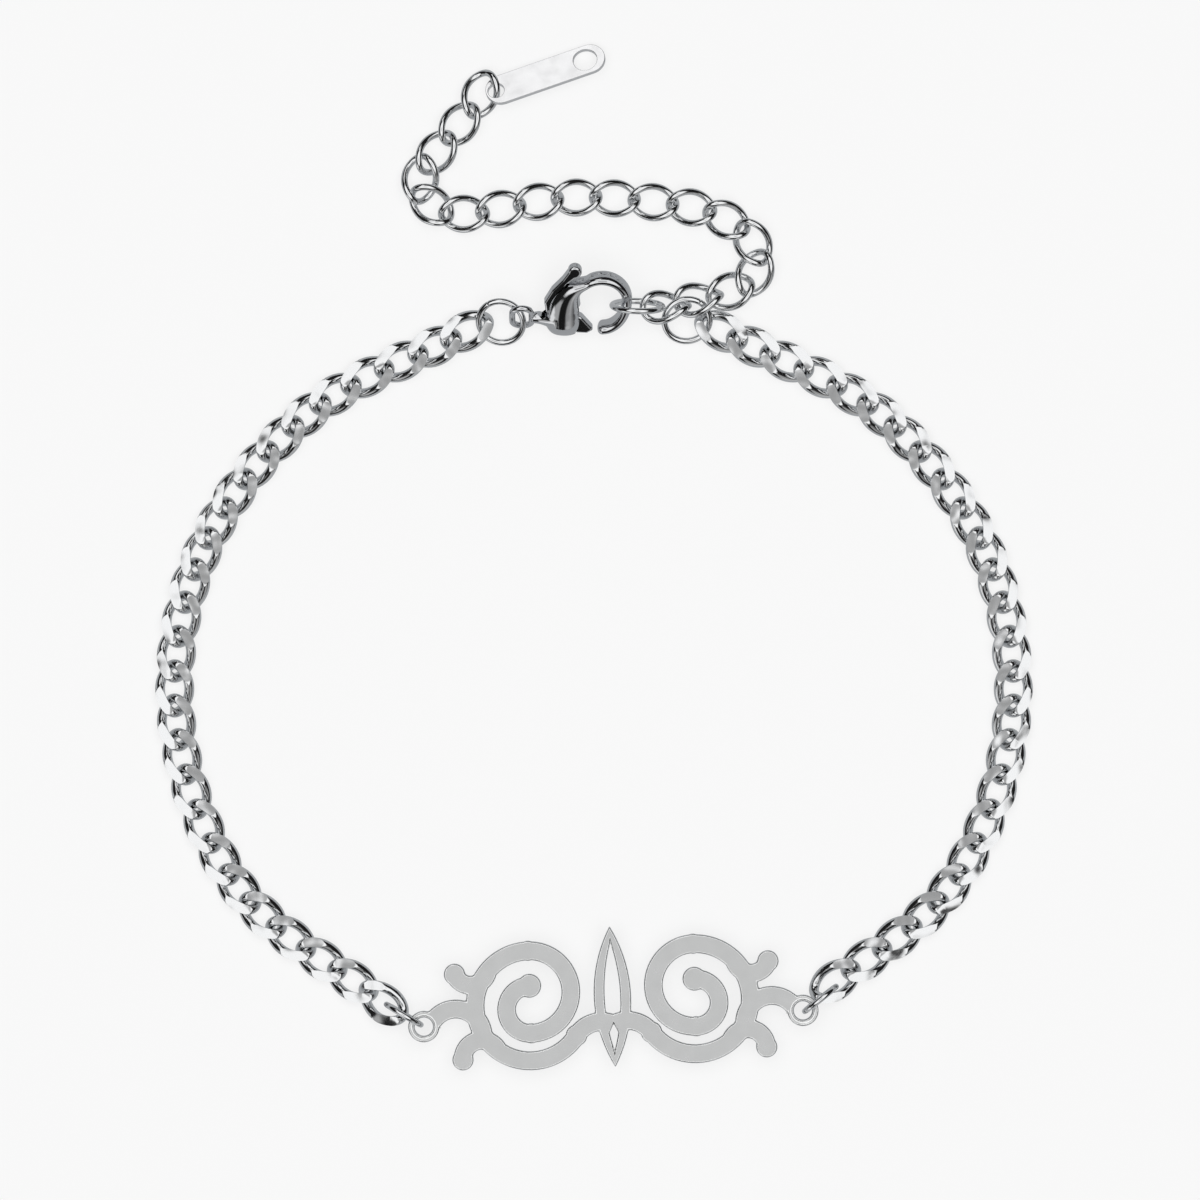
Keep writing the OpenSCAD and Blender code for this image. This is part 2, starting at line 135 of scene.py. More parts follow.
# %% The way the chains lie
def along_route(route, u):
    """Cubic through rows of (u, values): each span leaves and meets its points at their mean slope."""
    route, u = np.asarray(route, float), np.atleast_1d(np.asarray(u, float))
    key, val = route[:, 0], route[:, 1:]
    i = np.clip(np.searchsorted(key, u, side="right") - 1, 0, len(key) - 2)
    prev, after = np.maximum(i - 1, 0), np.minimum(i + 2, len(key) - 1)
    h = (key[i + 1] - key[i])[:, None]
    f = (u[:, None] - key[i][:, None]) / h
    m1 = h * (val[i + 1] - val[prev]) / (key[i + 1] - key[prev])[:, None]
    m2 = h * (val[after] - val[i]) / (key[after] - key[i])[:, None]
    return ((2 * f**3 - 3 * f**2 + 1) * val[i] + (f**3 - 2 * f**2 + f) * m1
            + (3 * f**2 - 2 * f**3) * val[i + 1] + (f**3 - f**2) * m2)


def heading(route, u):
    """Direction of the route at u, in degrees, from the places half a step either side."""
    step = along_route(route, np.asarray(u) + 0.5) - along_route(route, np.asarray(u) - 0.5)
    return np.degrees(np.arctan2(step[:, 1], step[:, 0]))


CHAIN_ROUTE = [[0, -10.0, 27.6], [5, -23.0, 20.8], [10, -31.4, 9.7], [15, -33.4, -3.8],
               [20, -28.4, -17.1], [25, -16.9, -26.2]]
print("the left chain starts at", along_route(CHAIN_ROUTE, 0)[0], "heading", heading(CHAIN_ROUTE, [0])[0])

# %% [markdown]
# A curb link is a loop of round wire, twisted so that it lies flat among its neighbours, and the
# finished chain is filed: level above and below, and at a slope along its outer side, which gives
# the broad bright leaves. A torus with a Twist modifier would be round all over. Here each
# cross-section is a circle whose filed parts are straight chords, so every facet has a clean edge.
# The solids hold their links 0.1 mm clear of one another, in wire of 0.74 mm. On the real chain
# they touch, so the wire is drawn a little thicker here, round the same middle lines.

# %% A twisted link of round wire, filed flat
LINK_TWIST, OUTER_SLOPE = 45.0, 16.0
# The slope starts this far from the link's middle, in mm
SLOPE_FROM = 0.35
# Half angle of the narrowest filed strip, and the least area that two planes' directions may span
LEAST_CHORD, NEARLY_PARALLEL = 0.05, 1e-6
# Points on each of the section's two arcs, and on its upper and lower chords
ARC_SIDES, FLAT_SIDES = 9, 4


def signed_power(value, power):
    """A sine or cosine raised to 2 over the power, keeping its sign, for rounded oblongs."""
    return np.sign(value) * np.abs(value) ** (2 / power)


def link_middle(a, b, power, t):
    """Middle line of the wire: a rounded oblong, a by b, turned more about its length towards each end."""
    x, y = a * signed_power(np.cos(t), power), b * signed_power(np.sin(t), power)
    w = np.radians(LINK_TWIST) * x / a
    return np.stack([x, y * np.cos(w), -y * np.sin(w)], -1)


def filed_section(middle, out, side, r, filed, slope):
    """Where three planes cut each circle: half angles, directions, and the ridge where the upper two meet."""
    tilt = np.radians(slope)
    planes = np.array([[0, 0, 1], [0, -np.sin(tilt), np.cos(tilt)], [0, 0, -1]])
    reach = np.array([filed / 2, planes[1] @ [0, -SLOPE_FROM, filed / 2], filed / 2])
    u, v, left = out @ planes.T, side @ planes.T, reach - middle @ planes.T
    half = np.arccos(np.clip(left / (r * np.hypot(u, v)), -1, 1))
    toward = np.arctan2(v, u)
    area = u[:, 0] * v[:, 1] - v[:, 0] * u[:, 1]
    safe = np.where(np.abs(area) > NEARLY_PARALLEL, area, np.inf)
    p = (left[:, 0] * v[:, 1] - left[:, 1] * v[:, 0]) / safe
    q = (u[:, 0] * left[:, 1] - u[:, 1] * left[:, 0]) / safe
    both = (half[:, 0] > 0) & (half[:, 1] > 0) & np.isfinite(safe) & (np.hypot(p, q) < r)
    return half, toward, both, middle + p[:, None] * out + q[:, None] * side


def link_surface(length, width, wire, power, filed, slope=0.0, rings=72):
    """Rings of points round the wire: upper chords, an arc, the lower chord and the other arc."""
    a, b, r = (length - wire) / 2, (width - wire) / 2, wire / 2
    t = np.arange(rings) * 2 * np.pi / rings
    step = np.radians(1)
    middle = link_middle(a, b, power, t)
    run = link_middle(a, b, power, t + step) - link_middle(a, b, power, t - step)
    run /= np.linalg.norm(run, axis=1, keepdims=True)
    out = middle - run * (middle * run).sum(1, keepdims=True)
    out /= np.linalg.norm(out, axis=1, keepdims=True)
    side = np.cross(run, out)
    half, toward, both, ridge = filed_section(middle, out, side, r, filed, slope)
    swing = (toward[:, 1] - toward[:, 0] + np.pi) % (2 * np.pi) - np.pi
    level, sloped = half[:, 0], half[:, 1]
    only_level, only_sloped = sloped == 0, level == 0
    first = np.where(only_sloped, swing - sloped, np.minimum(-level, swing - sloped))
    last = np.where(only_sloped, swing + sloped, np.maximum(level, swing + sloped))
    first, last = np.where(only_level, -level, first), np.where(only_level, level, last)
    first, last = np.minimum(first, last - 2 * LEAST_CHORD) + toward[:, 0], last + toward[:, 0]
    below = np.maximum(half[:, 2], LEAST_CHORD)
    down = first + (toward[:, 2] - first) % (2 * np.pi)

    def on_circle(q):
        across, up = np.cos(q)[..., None] * out[:, None], np.sin(q)[..., None] * side[:, None]
        return middle[:, None] + r * (across + up)

    def arc(q1, q2):
        return on_circle(q1[:, None] + (q2 - q1)[:, None] * np.arange(ARC_SIDES) / ARC_SIDES)

    def chord(p1, p2, count):
        f = (np.arange(count) / count)[None, :, None]
        return p1[:, None] * (1 - f) + p2[:, None] * f

    corner = [on_circle(q[:, None])[:, 0] for q in (first, last, down - below, down + below)]
    ridge = np.where(both[:, None], ridge, (corner[0] + corner[1]) / 2)
    upper = [chord(corner[0], ridge, FLAT_SIDES // 2), chord(ridge, corner[1], FLAT_SIDES // 2)]
    lower = chord(corner[2], corner[3], FLAT_SIDES)
    outer, inner = arc(last, down - below), arc(down + below, first + 2 * np.pi)
    return np.concatenate([*upper, outer, lower, inner], axis=1)


def laid_chain(name, surface, places, turns, pull_back, mirrored=False):
    """Copies the link's surface, drawn back along itself, to every place and turn, as one mesh."""
    local = surface[None] + np.array([1, 0, 0]) * np.asarray(pull_back)[:, None, None, None]
    laid = np.einsum("nij,nrsj->nrsi", turns, local) + np.asarray(places)[:, None, None, :]
    if mirrored:
        laid = laid * np.array([-1, 1, 1])
    copies, rings, sides = laid.shape[:3]
    filed = np.tile(np.repeat([1, 0, 1, 0], [FLAT_SIDES, ARC_SIDES] * 2), copies * rings)
    faces = tube_faces(rings, sides, copies=copies, flip=mirrored)
    return shape_object(name, laid.reshape(-1, 3), faces, filed)


# The power sets how square the oblong is: 2 would be an ellipse
LINK_LEN, LINK_WIDTH, LINK_WIRE, LINK_POWER, CHAIN_H = 4.62, 3.08, 0.74, 2.2, 1.24
LINK_THICKER = 0.06
curb_surface = link_surface(LINK_LEN + LINK_THICKER, LINK_WIDTH + LINK_THICKER, LINK_WIRE + LINK_THICKER,
                            LINK_POWER, CHAIN_H, OUTER_SLOPE)
print("one curb link has", curb_surface.shape, "points and is filed at", curb_surface[..., 2].max(), "mm")

# %% [markdown]
# The two curb chains run from the clasp to the plate, one as the mirror of the other. All links
# but the first and last two lie flat, and those tip up to meet the rings. Each chain is a single
# mesh, as the CAD has it as a single node.

# %% The two curb chains
LEFT_LAST = 25
# Roll, nose angle, height and pull-back of the first two links, and of the last two on each side
CLASP_END = [[3.0, 0, 0.688, 0.196], [1.5, 1, 0.65, 0.07]]
LEFT_PLATE_END = [[0, -1.6, 0.672, 0], [10, -8.5, 0.98, 0]]
RIGHT_PLATE_END = [[0, -2.1, 0.692, 0], [1.9, -0.4, 0.76, 0]]


def curb_chain(name, last, plate_end, mirrored):
    """Lays links 0 to last on the route, all flat but for the two at each end."""
    u = np.arange(last + 1) * CHAIN_ROUTE[-1][0] / LEFT_LAST
    pose = np.tile([0, 0, CHAIN_H / 2, 0], (last + 1, 1)).astype(float)
    pose[[0, 1, last - 1, last]] = CLASP_END + plate_end
    places = np.concatenate([along_route(CHAIN_ROUTE, u), pose[:, 2:3]], axis=1)
    turns = turned(pose[:, 0], pose[:, 1], heading(CHAIN_ROUTE, u))
    return laid_chain(name, curb_surface, places, turns, pose[:, 3], mirrored)


left_chain = curb_chain("left_curb_chain", LEFT_LAST, LEFT_PLATE_END, mirrored=False)
right_chain = curb_chain("right_curb_chain", LEFT_LAST - 1, RIGHT_PLATE_END, mirrored=True)

# %% [markdown]
# The extension is a light chain of the same twisted form in thinner wire that isn't filed, so the
# same surface serves with its filing planes out of reach. Its wire is 0.44 mm in the solids and is
# drawn thicker here too, until the links all but touch.

# %% The extension chain
EXT_ROUTE = [[0, -8.8, 46.4], [2, -12.6, 41.8], [3, -13.9, 39.7], [4, -13.0, 37.6], [5, -10.4, 36.9],
             [8, -1.4, 38.2], [11, 7.8, 37.4], [12, 10.6, 36.4], [13, 12.7, 34.6], [14, 12.85, 32.15],
             [15, 10.9, 30.7], [17, 5.7, 29.6]]
EXT_COUNT, EXT_LEN, EXT_WIDTH, EXT_WIRE, EXT_POWER, EXT_LIFT = 18, 4.10, 2.97, 0.44, 2.15, 0.72
EXT_THICKER = 0.10
ext_surface = link_surface(EXT_LEN + EXT_THICKER, EXT_WIDTH + EXT_THICKER, EXT_WIRE + EXT_THICKER,
                           EXT_POWER, filed=EXT_LEN, rings=64)
ext_u = np.arange(EXT_COUNT) * EXT_ROUTE[-1][0] / (EXT_COUNT - 1)
ext_places = np.concatenate([along_route(EXT_ROUTE, ext_u), np.full((EXT_COUNT, 1), EXT_LIFT)], axis=1)
ext_roll, ext_head = np.zeros(EXT_COUNT), heading(EXT_ROUTE, ext_u)
# The first link hangs in the tag's hole, and the last two roll up to meet the end ring
ext_places[0], ext_roll[0], ext_head[0] = [-9.09, 46.43, 0.80], -2.4, 249.1
ext_places[-2, 2], ext_roll[-2] = 1.138, 31.6
ext_places[-1], ext_roll[-1], ext_head[-1] = [5.738, 29.44, 1.266], 35.0, -177.0
extension = laid_chain("extension_links", ext_surface, ext_places, turned(ext_roll, 0, ext_head),
                       np.zeros(EXT_COUNT))

# %% [markdown]
# A jump ring is wire wound on a rod and cut, and its two cut ends meet in a fine seam. A torus
# primitive has no seam. This one is swept with rings bunched up at the seam, where the wire draws
# in a little, so the joint shows as the hairline it is on the real ring.

# %% Jump rings with their seams
# Half the seam's width in mm, how far the wire draws in there, and how the rings of points bunch up
SEAM_HALF, SEAM_DIP = 0.035, 0.34
SEAM_SPREAD, SEAM_BUNCH = 0.35, 0.65


def jump_ring(name, place, turn, middle_d, wire, seam_at, rings=96, sides=28):
    """A circle of wire swept round a circle, drawn in by a narrow dip at the seam's angle."""
    s = np.linspace(-1, 1, rings, endpoint=False)
    along = np.pi * (SEAM_SPREAD * s + SEAM_BUNCH * s**5)
    theta = np.radians(seam_at) + along
    seam_angle = SEAM_HALF / (middle_d / 2)
    r = wire / 2 * (1 - SEAM_DIP * np.exp(-((along / seam_angle) ** 4)))
    q = np.arange(sides) * 2 * np.pi / sides
    reach = middle_d / 2 + r[:, None] * np.cos(q)
    local = np.stack([reach * np.cos(theta)[:, None], reach * np.sin(theta)[:, None],
                      r[:, None] * np.sin(q) + 0 * theta[:, None]], -1)
    laid = local @ turned(*turn).T + np.array(place)
    return shape_object(name, laid.reshape(-1, 3), tube_faces(rings, sides))


JUMP_WIRE, PLATE_RING_D, PLATE_RING_WIRE = 0.50, 3.20, 0.45
PLATE_RING_Z = (PLATE_RING_D + PLATE_RING_WIRE) / 2
# Middle, turn about X, Y and Z, diameter along the middle of the wire, wire, and the seam's angle
clasp_ring = jump_ring("clasp_jump_ring", [-7.44, 28.235, 1.036], [24.7, -8.2, 0], 3.60, JUMP_WIRE, 120)
end_ring = jump_ring("end_jump_ring", [7.447, 28.383, 1.032], [24.7, 5.8, 0], 3.66, JUMP_WIRE, 60)
catch_ring = jump_ring("catch_jump_ring", [3.47, 29.482, 2.199], [102.9, 8.2, 0], 4.00, JUMP_WIRE, -25)
left_plate_ring = jump_ring("left_plate_jump_ring", [-15.21, -27.14, PLATE_RING_Z], [90, 0, -30.6],
                            PLATE_RING_D, PLATE_RING_WIRE, 200)
right_plate_ring = jump_ring("right_plate_jump_ring", [18.10, -25.88, PLATE_RING_Z], [90, 0, 38.4],
                             PLATE_RING_D, PLATE_RING_WIRE, 200)

# %% [markdown]
# The clasp is cast steel: belly, neck and hook flow into one another with no edge between them.
# Separate tubes would meet in hard creases. So the hook and belly are one loft through named
# cross-sections, the neck and eye are swept beside it, and a fine voxel remesh with a few rounds
# of smoothing melts the three together as the casting does.

# %% The clasp's sections
CLASP_POS, CLASP_TURN = np.array([0.642, 30.047, 2.579]), [34.3, 0, 0]
HOOK_R, HOOK_DEEP, HOOK_W, HOOK_T, BELLY_T = 2.00, 1.34, 0.72, 1.60, 2.24
HOOK_START, HOOK_END, HOOK_STATIONS = 128, -90, 17
# Half width as a share of the hook's width: past the root, less at the root, more at the end, tip
HOOK_HALF, HOOK_WAIST, HOOK_WIDER, TIP_HALF = 0.56, 0.06, 0.02, 0.58
# The tip closes within ten degrees past the hook's end
TIP_ANGLES, TIP_CLOSE = np.array([4, 8, 10]), np.array([0.92, 0.70, 0.35])
# From the tail up: x, y, half width, share of the belly's half thickness, heading
BELLY = [[-2.95, -3.42, 0.30, 0.12, 90], [-2.98, -3.30, 0.75, 0.30, 90], [-3.02, -2.95, 1.15, 0.68, 92],
         [-3.08, -2.35, 1.42, 0.94, 92], [-3.12, -1.60, 1.50, 1.00, 90], [-3.08, -0.80, 1.42, 1.00, 86],
         [-2.92, 0.00, 1.22, 0.97, 76], [-2.58, 0.72, 0.92, 0.92, 62], [-2.05, 1.25, 0.62, 0.86, 48]]


def hook_station(angle, half_w, half_t):
    """Sections on a circle whose lower half is deeper: x, y, half width, half thickness, heading along it."""
    rad = np.radians(np.asarray(angle, float))
    deep = np.where(rad < 0, HOOK_DEEP, 1)
    facing = np.degrees(np.arctan2(-deep * np.cos(rad), np.sin(rad)))
    facing = np.where(facing > 90, facing - 360, facing)
    x, y = HOOK_R * np.cos(rad), deep * HOOK_R * np.sin(rad)
    return np.stack(np.broadcast_arrays(x, y, half_w, half_t, facing), 1)


def clasp_frame(local):
    """From the clasp's own axes to the bracelet's."""
    return local @ turned(*CLASP_TURN).T + CLASP_POS


hook_f = np.linspace(0, 1, HOOK_STATIONS)
waist = HOOK_WAIST * np.sin(np.pi * np.minimum(1, 2 * hook_f + 0.5))
hook = hook_station(HOOK_START + hook_f * (HOOK_END - HOOK_START),
                    HOOK_W * (HOOK_HALF - waist + HOOK_WIDER * hook_f), HOOK_T / 2)
tip = hook_station(HOOK_END - TIP_ANGLES, TIP_CLOSE * HOOK_W * TIP_HALF, TIP_CLOSE * HOOK_T / 2)
stations = np.concatenate([np.array(BELLY) * [1, 1, 1, BELLY_T / 2, 1], hook, tip])
print("clasp body:", len(stations), "sections from belly to tip")

# %% Loft, neck and eye
# The sections are ellipses up to the sixth, and rounded oblongs from the tenth on
ROUND_UNTIL, SQUARE_FROM, ROUND_POWER, SQUARE_POWER = 5, 9, 2.0, 2.6


def loft(stations, rings=220, sides=56):
    """Ellipses or rounded oblongs across the headings of the sections, with a cubic between sections."""
    key = np.arange(len(stations))[:, None]
    at = np.linspace(0, len(stations) - 1, rings)
    s = along_route(np.concatenate([key, stations], axis=1), at)
    power = np.interp(at, [ROUND_UNTIL, SQUARE_FROM], [ROUND_POWER, SQUARE_POWER])[:, None]
    q = np.arange(sides) * 2 * np.pi / sides
    p = s[:, 2:3] * signed_power(np.cos(q), power)
    w = s[:, 3:4] * signed_power(np.sin(q), power)
    head = np.radians(s[:, 4:5])
    return np.stack([s[:, :1] + p * np.sin(head), s[:, 1:2] - p * np.cos(head), w], -1)


def flare(start, length, r_start, r_end, rings=24, sides=40):
    """A round neck whose radius swells with the square of the distance run."""
    f = np.linspace(0, 1, rings)[:, None]
    q = np.arange(sides) * 2 * np.pi / sides
    r = r_start + (r_end - r_start) * f**2
    return np.stack([start[0] + length * f + 0 * q, start[1] + r * np.cos(q), start[2] + r * np.sin(q)], -1)


# How steeply the eye's sides cross from one half circle to the other
SIDE_STEEPNESS = 6


def oval_eye(wire, width, length, rings=96, sides=28):
    """Wire round a stadium: two half circles joined by straight sides."""
    r, straight = (width - wire) / 2, length - width
    t = np.arange(rings) * 2 * np.pi / rings
    shift = np.clip(np.sin(t) * SIDE_STEEPNESS, -1, 1) * straight / 2
    q = np.arange(sides) * 2 * np.pi / sides
    reach = r + wire / 2 * np.cos(q)
    return np.stack([np.cos(t)[:, None] * reach, np.sin(t)[:, None] * reach + shift[:, None],
                     wire / 2 * np.sin(q) + 0 * t[:, None]], -1)


def settled(name, thing):
    """Replaces an object by the mesh that its modifiers give."""
    seen = thing.evaluated_get(bpy.context.evaluated_depsgraph_get())
    mesh = bpy.data.meshes.new_from_object(seen)
    bpy.data.objects.remove(thing)
    mesh.name = name
    made = bpy.data.objects.new(name, mesh)
    bpy.context.collection.objects.link(made)
    print(f"{name}: {len(mesh.polygons)} faces after its modifiers")
    return made


def melted(name, parts, voxel, rounds):
    """Joins closed pieces into one skin: voxel remesh at the given size in mm, then smoothing."""
    bpy.ops.object.select_all(action="DESELECT")
    for part in parts:
        part.select_set(True)
    bpy.context.view_layer.objects.active = parts[0]
    bpy.ops.object.join()
    joined = bpy.context.view_layer.objects.active
    skin = joined.modifiers.new("skin", "REMESH")
    skin.mode, skin.voxel_size, skin.use_smooth_shade = "VOXEL", voxel * MM, True
    ease = joined.modifiers.new("ease", "SMOOTH")
    ease.factor, ease.iterations = 0.5, rounds
    return settled(name, joined)


EYE_POS, EYE_LEAN, EYE_WIRE, EYE_WIDTH, EYE_LENGTH = np.array([-6.40, -1.72, 0]), 28.5, 0.52, 2.08, 3.36
NECK_START, NECK_LENGTH, NECK_THIN, NECK_THICK = [-5.62, -1.76, 0], 1.90, 0.46, 1.14
CASTING_VOXEL, CASTING_ROUNDS = 0.045, 16
eye_points = clasp_frame(oval_eye(EYE_WIRE, EYE_WIDTH, EYE_LENGTH) @ turned(EYE_LEAN, 0, 0).T + EYE_POS)
eye_object = shape_object("clasp_eye", eye_points.reshape(-1, 3), tube_faces(*eye_points.shape[:2]))
body_object = capped_tube("clasp_loft", clasp_frame(loft(stations)))
neck_object = capped_tube("clasp_neck", clasp_frame(flare(NECK_START, NECK_LENGTH, NECK_THIN, NECK_THICK)))
clasp_solid = melted("clasp_solid", [body_object, neck_object, eye_object], CASTING_VOXEL, CASTING_ROUNDS)

# %% [markdown]
# The lever turns in a slot that is milled through the casting, so its walls are flat and its edges
# crisp. A Boolean cuts it after the smoothing, or the slot would melt too.

# %% The slot and the finished body
LEVER_T, LEVER_GAP = 0.90, 0.12
SLOT = [[-1.55, 3.10], [-2.46, 1.88], [-3.06, 0.94], [-3.36, 0.14], [-3.20, -0.42], [-1.20, -0.42],
        [-1.20, -3.60], [-2.10, -3.20], [-3.10, -2.56], [-3.95, -2.36], [-4.44, -1.80], [-4.90, -1.50],
        [-5.60, -1.00], [-5.60, 3.60]]


def prism(name, outline, thickness):
    """A flat outline carried through its thickness, as two rings of points with flat ends."""
    flat = np.asarray(outline, float)
    levels = [np.column_stack([flat, np.full(len(flat), z)]) for z in (-thickness / 2, thickness / 2)]
    n = len(flat)
    k, k2 = np.arange(n), (np.arange(n) + 1) % n
    walls = np.stack([k, k2, k2 + n, k + n], -1)
    ends = [list(range(n))[::-1], list(range(n, 2 * n))]
    return shape_object(name, clasp_frame(np.concatenate(levels)), walls.tolist() + ends)


def outward(thing):
    """Turns a closed mesh's faces outwards, whichever way its outline was drawn."""
    bpy.ops.object.select_all(action="DESELECT")
    bpy.context.view_layer.objects.active = thing
    bpy.ops.object.mode_set(mode="EDIT")
    bpy.ops.mesh.select_all(action="SELECT")
    bpy.ops.mesh.normals_make_consistent(inside=False)
    bpy.ops.object.mode_set(mode="OBJECT")
    return thing


slot_cutter = outward(prism("slot_cutter", SLOT, LEVER_T + 2 * LEVER_GAP))
cut = clasp_solid.modifiers.new("slot", "BOOLEAN")
cut.operation, cut.solver, cut.object = "DIFFERENCE", "EXACT", slot_cutter
clasp_body = settled("clasp_casting", clasp_solid)
bpy.data.objects.remove(slot_cutter)
clasp_body.data.shade_smooth()
clasp_body.data.set_sharp_from_angle(angle=CREASE)

# %% [markdown]
# The lever is a small casting of its own: a thumb knob at the top, a thin arm down the back, a hub
# on the pin, and the gate that closes the hook. Its outline is carried through its thickness and
# melted like the body, at a finer grain, so its edges are softly rounded.

# %% The lever
LEVER = [[-2.58, 2.92], [-3.16, 2.02], [-4.02, 1.02], [-4.62, -0.10], [-4.50, -1.00], [-4.02, -1.60],
         [-3.80, -2.13], [-3.10, -2.30], [-2.00, -2.98], [-1.20, -3.02], [-0.68, -2.70], [-1.60, -1.52],
         [-2.60, -1.00], [-3.35, -0.60], [-3.52, 0.10], [-3.24, 0.86], [-2.76, 1.62], [-1.76, 2.52]]
KNOB_POS, KNOB_R, PIN_POS, HUB_R = [-2.16, 2.71], 0.55, [-3.30, -1.60], 0.72
ARM_RIM, KNOB_RIM, LEVER_RIM_STEPS, LEVER_VOXEL, LEVER_ROUNDS = 0.16, 0.20, 4, 0.035, 6
# Edges that turn by more than this are rims
RIM_ANGLE = np.radians(40)


def disc(centre, r, sides=48):
    """Points of a circle in the lever's plane."""
    q = np.arange(sides) * 2 * np.pi / sides
    return np.stack([centre[0] + r * np.cos(q), centre[1] + r * np.sin(q)], -1)


def rolled_rim(thing, rim, steps):
    """Adds a Bevel modifier that rolls sharp rims over by the given width in mm."""
    edge = thing.modifiers.new("rim", "BEVEL")
    edge.width, edge.segments, edge.limit_method, edge.angle_limit = rim * MM, steps, "ANGLE", RIM_ANGLE
    return edge


def lever_part(name, outline, rim):
    """A prism of the lever's thickness with rolled rims."""
    part = outward(prism(name, outline, LEVER_T))
    rolled_rim(part, rim, LEVER_RIM_STEPS)
    return settled(name, part)


lever_parts = [lever_part("lever_arm", LEVER, ARM_RIM),
               lever_part("lever_knob", disc(KNOB_POS, KNOB_R), KNOB_RIM),
               lever_part("lever_hub", disc(PIN_POS, HUB_R), ARM_RIM)]
clasp_lever = melted("clasp_thumb_lever", lever_parts, LEVER_VOXEL, LEVER_ROUNDS)
clasp_lever.data.shade_smooth()

# %% [markdown]
# The plate and the tag are sheet metal, cut to outline and tumbled, so their faces stay flat and
# their rims are broken by a narrow radius. The CAD mesh already has the outline. A copy of it is
# merged, because the CAD mesh is loose triangles, and a Bevel modifier breaks the rims. The plate's
# rim is drawn a little wider than tumbling leaves it, so that it shows.

# %% The plate and the tag
PLATE_RIM, TAG_RIM, SHEET_RIM_STEPS = 0.14, 0.04, 3
# Points closer than this, in mm, are one point, and faces that turn by less than this are one face
WELD_MM, FLAT_ANGLE = 0.03, np.radians(0.5)


def rimmed_copy(node, name, rim):
    """A merged copy of a CAD node whose sharp rims are rounded by the given width in mm."""
    mesh = frame["nodes"][node].data.copy()
    mesh.name = name
    made = bpy.data.objects.new(name, mesh)
    made.matrix_world = frame["nodes"][node].matrix_world.copy()
    bpy.context.collection.objects.link(made)
    mesh.transform(made.matrix_world)
    made.matrix_world.identity()
    weld = made.modifiers.new("weld", "WELD")
    weld.merge_threshold = WELD_MM * MM
    flat = made.modifiers.new("flat", "DECIMATE")
    flat.decimate_type, flat.angle_limit = "DISSOLVE", FLAT_ANGLE
    rolled_rim(made, rim, SHEET_RIM_STEPS).use_clamp_overlap = False
    mesh.shade_smooth()
    even = made.modifiers.new("even", "WEIGHTED_NORMAL")
    even.mode, even.weight, even.keep_sharp = "FACE_AREA", 100, False
    return settled(name, made)


plate = rimmed_copy("name_plate", "scroll_plate", PLATE_RIM)
tag = rimmed_copy("end_tag", "end_tag_oblong", TAG_RIM)

# %% [markdown]
# Colours are written as the sRGB hex values a painter would pick, and one function turns them to
# the linear numbers that the shader wants. One more function adds a node with its settings and
# links, so that a material reads as a list of what it is made of.

# %% Colours and nodes
def linear(hex_colour):
    """sRGB hex to linear RGBA by the standard curve."""
    s = np.array([int(hex_colour[i:i + 2], 16) for i in (1, 3, 5)]) / 255
    rgb = np.where(s <= 0.04045, s / 12.92, ((s + 0.055) / 1.055) ** 2.4)
    return (*rgb.tolist(), 1.0)


def add_node(tree, kind, inputs=None, **settings):
    """Adds one node: settings are its own properties, inputs are values or sockets to link from."""
    node = tree.nodes.new(kind)
    for key, value in settings.items():
        setattr(node, key, value)
    for socket, value in (inputs or {}).items():
        if isinstance(value, bpy.types.NodeSocket):
            tree.links.new(value, node.inputs[socket])
        else:
            node.inputs[socket].default_value = value
    return node


print("mid grey #808080 is", round(linear("#808080")[0], 3), "linear")

# %% [markdown]
# Stainless steel is a pale, neutral grey, and polished it is nearly a mirror. What tells the eye
# that it is worn metal and not chrome is a faint haze: fine hairlines from polishing and wear, and
# a gloss that drifts from place to place. Real hairlines are a few hundredths of a millimetre
# apart, and they are drawn 0.10 to 0.20 mm apart, so that they show. A filed face is a little
# duller and never quite a plane. Its waves are drawn deeper than a file leaves them, so that the
# broad leaves of the chain shade from end to end, as the real ones do.

# %% Stainless steel, four finishes
# Distance between patches of haze in mm, and the part of the noise that spans the gloss
HAZE_MM, HAZE_LOW, HAZE_HIGH = 1.4, 0.3, 0.7
# Roughness of a filed face, and the distance and depth of its waves in mm
FILED_GLOSS, WAVE_MM, WAVE_DEPTH_MM = 0.12, 1.5, 0.22


